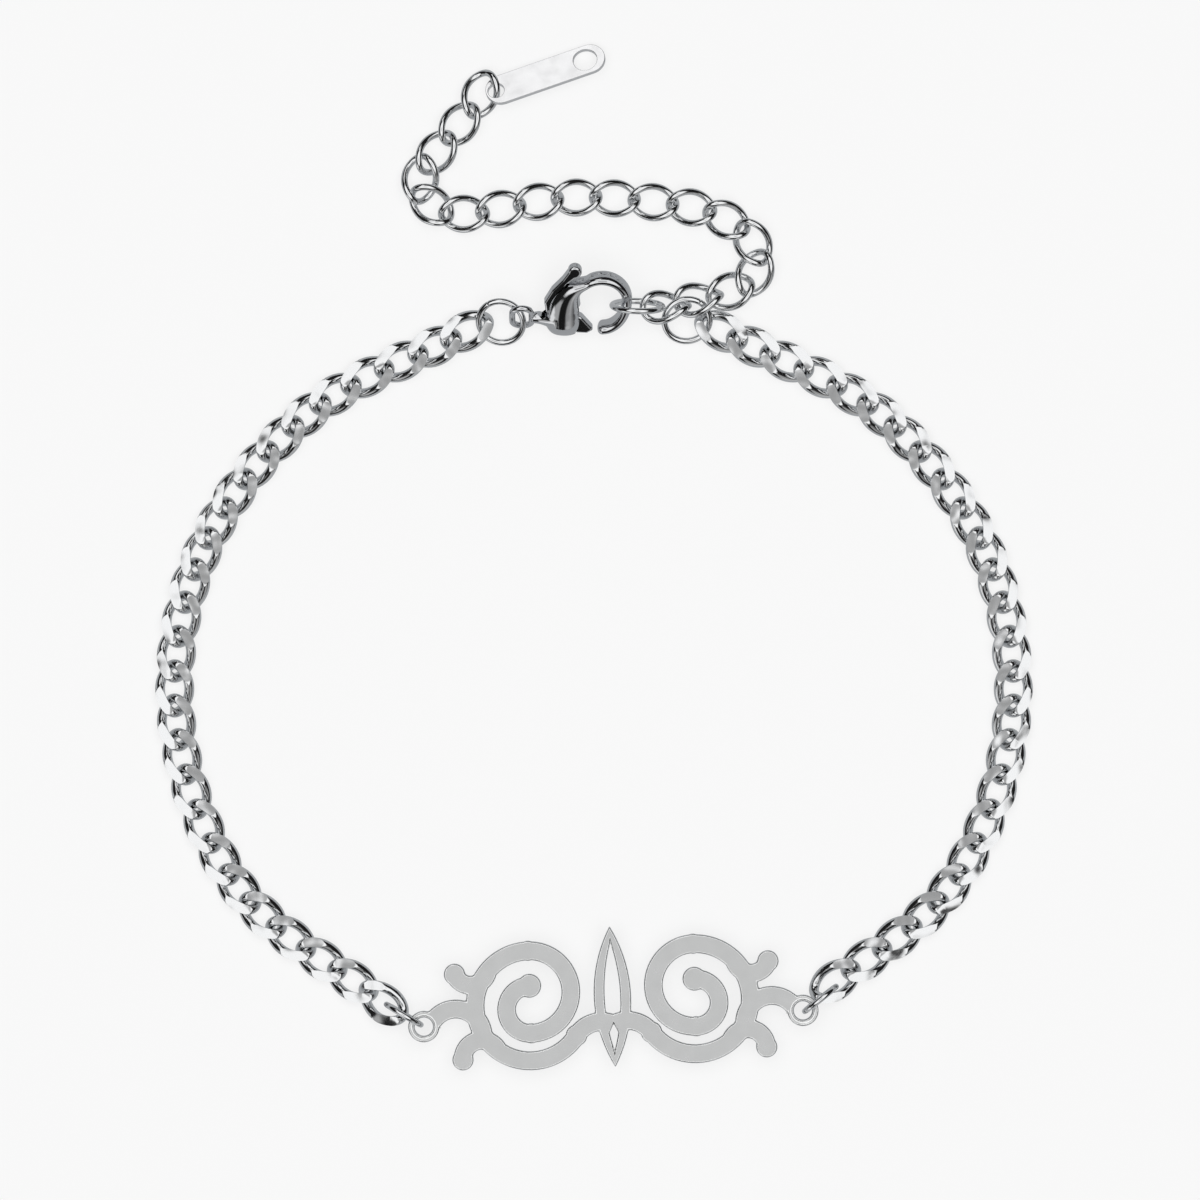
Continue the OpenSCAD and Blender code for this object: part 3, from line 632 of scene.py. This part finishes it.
def metal(name, colour, gloss, grain_mm, grain_depth_mm, stretch=(1, 1, 1)):
    """Metal whose roughness drifts between two values, with grain as a bump and waves on filed faces.

    The attribute filed is 1 on filed faces, and 0 on others and on pieces that don't have it.
    """
    material = bpy.data.materials.new(name)
    material.use_nodes = True
    tree = material.node_tree
    tree.nodes.clear()
    where = add_node(tree, "ShaderNodeTexCoord").outputs["Object"]
    drawn = add_node(tree, "ShaderNodeMapping", {"Vector": where, "Scale": stretch}).outputs["Vector"]
    grain = add_node(tree, "ShaderNodeTexNoise", {
        "Vector": drawn, "Scale": 1 / (grain_mm * MM), "Detail": 3.0})
    haze = add_node(tree, "ShaderNodeTexNoise", {"Vector": where, "Scale": 1 / (HAZE_MM * MM), "Detail": 2.0})
    wave = add_node(tree, "ShaderNodeTexNoise", {"Vector": where, "Scale": 1 / (WAVE_MM * MM), "Detail": 0.0})
    drift = add_node(tree, "ShaderNodeMapRange", {
        "Value": haze.outputs["Fac"], "From Min": HAZE_LOW, "From Max": HAZE_HIGH,
        "To Min": gloss[0], "To Max": gloss[1]})
    filed = add_node(tree, "ShaderNodeAttribute", attribute_name="filed").outputs["Fac"]
    dull = add_node(tree, "ShaderNodeMath", {0: filed, 1: FILED_GLOSS}, operation="MULTIPLY")
    rough = add_node(tree, "ShaderNodeMath", {0: drift.outputs["Result"], 1: dull.outputs["Value"]},
                     operation="MAXIMUM")
    rolling = add_node(tree, "ShaderNodeBump", {
        "Height": wave.outputs["Fac"], "Strength": filed, "Distance": WAVE_DEPTH_MM * MM})
    bump = add_node(tree, "ShaderNodeBump", {
        "Height": grain.outputs["Fac"], "Strength": 1.0, "Distance": grain_depth_mm * MM,
        "Normal": rolling.outputs["Normal"]})
    skin = add_node(tree, "ShaderNodeBsdfPrincipled", {
        "Base Color": linear(colour), "Metallic": 1.0, "Roughness": rough.outputs["Value"],
        "Normal": bump.outputs["Normal"]})
    add_node(tree, "ShaderNodeOutputMaterial", {"Surface": skin.outputs["BSDF"]})
    return material


# Drawn wire, bent and tumbled bright: crisp reflections with dark edge lines
polished = metal("polished_stainless_steel", "#E4E5E6", (0.05, 0.12), 0.12, 0.0012)
# Cast and barrel-polished, and as glossy as the wire: the wire's steel painted a shade darker, as painted
# shade for the clasp's darker reflections
shade_painted_cast = metal("cast_steel_painted_darker", "#D4D5D7", (0.06, 0.13), 0.12, 0.0010)
# Laser-cut sheet, brushed up and down: an even pale grey with no clear reflection
satin = metal("satin_stainless_steel", "#F4F5F5", (0.255, 0.275), 0.10, 0.002, stretch=(1, 0.15, 1))
# Stamped from bright-rolled sheet: nearly white, with soft reflections
bright = metal("bright_rolled_steel", "#EDEDEE", (0.12, 0.20), 0.20, 0.0010)
print("materials:", [m.name for m in (polished, shade_painted_cast, satin, bright)])

# %% [markdown]
# Each new piece is listed with the CAD node it stands for, the body it moves with, the record's finish for it
# and the material it wears. It takes that material and body, and the CAD node is hidden. All ride on the
# bracelet but the lever, which swings.

# %% Pieces take their places
DRESSED = [
    (left_chain, "chain_left", "bracelet", "polished_steel", polished),
    (right_chain, "chain_right", "bracelet", "polished_steel", polished),
    (extension, "extension_chain", "bracelet", "polished_steel", polished),
    (clasp_ring, "clasp_ring", "bracelet", "polished_steel", polished),
    (end_ring, "end_ring", "bracelet", "polished_steel", polished),
    (catch_ring, "catch_ring", "bracelet", "polished_steel", polished),
    (left_plate_ring, "plate_ring_left", "bracelet", "polished_steel", polished),
    (right_plate_ring, "plate_ring_right", "bracelet", "polished_steel", polished),
    # The clasp and its lever wear the polished steel with painted shade, a shade darker than the wire
    (clasp_body, "clasp_body", "bracelet", "polished_steel", shade_painted_cast),
    (clasp_lever, "clasp_lever", "lever", "polished_steel", shade_painted_cast),
    (plate, "name_plate", "bracelet", "satin_plate", satin),
    (tag, "end_tag", "bracelet", "bright_tag", bright),
]
for piece, node, body, slot, material in DRESSED:
    piece.data.materials.clear()
    piece.data.materials.append(material)
    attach(piece, body)
    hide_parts(node)
print("dressed:", len(DRESSED), "pieces")

# %% [markdown]
# The bracelet was photographed from straight above on white. The floor is plain and pale, and it
# isn't part of the object. Most of its white is an even glow, and the rest is real shading, which
# leaves the faint shadows of the photograph. The metal sees it as a darker card, because on white
# its undersides would vanish.

# %% The floor
FLOOR_HALF, FLOOR_Z, SHADED_SHARE = 600.0, -0.05, 0.2
floor_corners = [[x, y, FLOOR_Z] for x, y in FLOOR_HALF * np.array([[-1, -1], [1, -1], [1, 1], [-1, 1]])]
floor = shape_object("floor", floor_corners, [[0, 1, 2, 3]])
paper = bpy.data.materials.new("white_paper")
paper.use_nodes = True
sheet = paper.node_tree
sheet.nodes.clear()
shaded = add_node(sheet, "ShaderNodeBsdfDiffuse", {"Color": linear("#F2F2F2")})
even = add_node(sheet, "ShaderNodeEmission", {"Color": linear("#F9F9F9"), "Strength": 1.0})
white = add_node(sheet, "ShaderNodeMixShader", {
    0: SHADED_SHARE, 1: even.outputs["Emission"], 2: shaded.outputs["BSDF"]})
card = add_node(sheet, "ShaderNodeEmission", {"Color": linear("#B0B2B4"), "Strength": 1.0})
ray = add_node(sheet, "ShaderNodeLightPath")
paper_mix = add_node(sheet, "ShaderNodeMixShader", {
    0: ray.outputs["Is Glossy Ray"], 1: white.outputs["Shader"], 2: card.outputs["Emission"]})
add_node(sheet, "ShaderNodeOutputMaterial", {"Surface": paper_mix.outputs["Shader"]})
floor.data.materials.append(paper)

# %% [markdown]
# Polished metal shows what stands round it, so the light is drawn as a studio tent. Straight above
# is a grey patch, which the level facets show. Round it runs a bright ring, and below that a dark
# band, which gives the wires their dark edge lines. A small bright card at the back faces the tag.
# In front stand a white card on the left and a grey one on the right, for the clasp's round belly,
# each with a dimmer one above it. A picture of a studio could do the same, but this way each card
# can be moved by one number. The camera itself sees a pale backdrop instead.

# %% The studio tent
world = bpy.data.worlds.new("studio_tent")
bpy.context.scene.world = world
world.use_nodes = True
tent = world.node_tree
tent.nodes.clear()
direction = add_node(tent, "ShaderNodeTexCoord").outputs["Generated"]
axis = add_node(tent, "ShaderNodeSeparateXYZ", {"Vector": direction})
ramp = add_node(tent, "ShaderNodeValToRGB", {"Fac": axis.outputs["Z"]})
# From the horizon to straight above: height of the direction, and brightness there
TENT = [(0.0, 0.010), (0.68, 0.012), (0.76, 0.85), (0.81, 1.0), (0.950, 1.0), (0.985, 0.42), (1.0, 0.34)]
while len(ramp.color_ramp.elements) < len(TENT):
    ramp.color_ramp.elements.new(0.5)
for element, (place, level) in zip(ramp.color_ramp.elements, TENT):
    element.position, element.color = place, (level, level, level, 1)
TENT_STRENGTH = 1.15
# Each card's brightness, then its soft edges: axis, where the card has ended, where it is full
CARDS = {
    "tag": (0.97, [("X", -0.42, -0.36), ("X", -0.05, -0.11), ("Y", 0.65, 0.71),
                   ("Z", 0.40, 0.46), ("Z", 0.70, 0.64)]),
    "left, low": (0.90, [("Y", -0.35, -0.55), ("Z", 0.33, 0.23), ("X", -0.90, -0.80), ("X", -0.28, -0.38)]),
    "left, high": (0.40, [("Y", -0.45, -0.60), ("Z", 0.66, 0.56), ("Z", 0.23, 0.33), ("X", -0.28, -0.38)]),
    "right, low": (0.50, [("Y", -0.35, -0.55), ("Z", 0.33, 0.23), ("X", 0.85, 0.30), ("X", 0.05, 0.22)]),
    "right, high": (0.30, [("Y", -0.45, -0.60), ("Z", 0.66, 0.56), ("Z", 0.23, 0.33), ("X", 0.10, 0.25)]),
}
shine = ramp.outputs["Color"]
for brightness, edges in CARDS.values():
    card_light = brightness
    for coordinate, ended, full in edges:
        eased = add_node(tent, "ShaderNodeMapRange", {
            "Value": axis.outputs[coordinate], "From Min": ended, "From Max": full},
            interpolation_type="SMOOTHSTEP")
        card_light = add_node(tent, "ShaderNodeMath", {0: eased.outputs["Result"], 1: card_light},
                              operation="MULTIPLY").outputs["Value"]
    shine = add_node(tent, "ShaderNodeMath", {0: shine, 1: card_light}, operation="ADD").outputs["Value"]
strength = add_node(tent, "ShaderNodeMath", {0: shine, 1: TENT_STRENGTH}, operation="MULTIPLY")
lit = add_node(tent, "ShaderNodeBackground", {"Color": (1, 1, 1, 1), "Strength": strength.outputs["Value"]})
backdrop = add_node(tent, "ShaderNodeBackground", {"Color": linear("#F4F4F4"), "Strength": 1.0})
seen = add_node(tent, "ShaderNodeLightPath")
choose = add_node(tent, "ShaderNodeMixShader", {
    0: seen.outputs["Is Camera Ray"], 1: lit.outputs["Background"], 2: backdrop.outputs["Background"]})
add_node(tent, "ShaderNodeOutputWorld", {"Surface": choose.outputs["Shader"]})
print("tent:", len(TENT), "heights and", len(CARDS), "cards")

# %% [markdown]
# One broad, soft lamp overhead gives the paper its white and the faint shadows. It is hidden from
# the metal, which already has the tent to show.

# %% The overhead lamp
LAMP_HEIGHT, LAMP_SIZE, LAMP_POWER = 500, 500, 1.62


def soft_light(name, place, size, power):
    """A square area light in mm that faces the middle of the bracelet."""
    data = bpy.data.lights.new(name, "AREA")
    data.size, data.energy = size * MM, power
    lamp = bpy.data.objects.new(name, data)
    bpy.context.collection.objects.link(lamp)
    lamp.location = np.array(place) * MM
    lamp.rotation_euler = (-lamp.location).to_track_quat("-Z", "Y").to_euler()
    lamp.visible_glossy = lamp.visible_camera = False
    return lamp


overhead = soft_light("overhead", (0, 0, LAMP_HEIGHT), LAMP_SIZE, LAMP_POWER)
print("lamp at", tuple(overhead.location), "m")

# %% [markdown]
# The camera hangs straight above the middle of the picture, far enough off that the bracelet is
# drawn almost without perspective. Its lens follows from the width of the picture at the height of
# the chain's middle.

# %% The camera
PICTURE_MM, CAMERA_MM, CHAIN_MIDDLE, SENSOR_MM = 96.0, 1200.0, 0.8, 36.0
# Middle of the picture in the bracelet's frame, in mm
PICTURE_X, PICTURE_Y = 0.48, 6.0
CLIP_NEAR_M, CLIP_FAR_M = 0.01, 5.0
camera_data = bpy.data.cameras.new("camera")
camera = bpy.data.objects.new("camera", camera_data)
bpy.context.collection.objects.link(camera)
bpy.context.scene.camera = camera
camera.location = (PICTURE_X * MM, PICTURE_Y * MM, (CHAIN_MIDDLE + CAMERA_MM) * MM)
camera_data.sensor_width = SENSOR_MM
camera_data.lens = SENSOR_MM * CAMERA_MM / PICTURE_MM
camera_data.clip_start, camera_data.clip_end = CLIP_NEAR_M, CLIP_FAR_M
bpy.context.scene.view_settings.view_transform = "Standard"
print("lens", camera_data.lens, "mm")
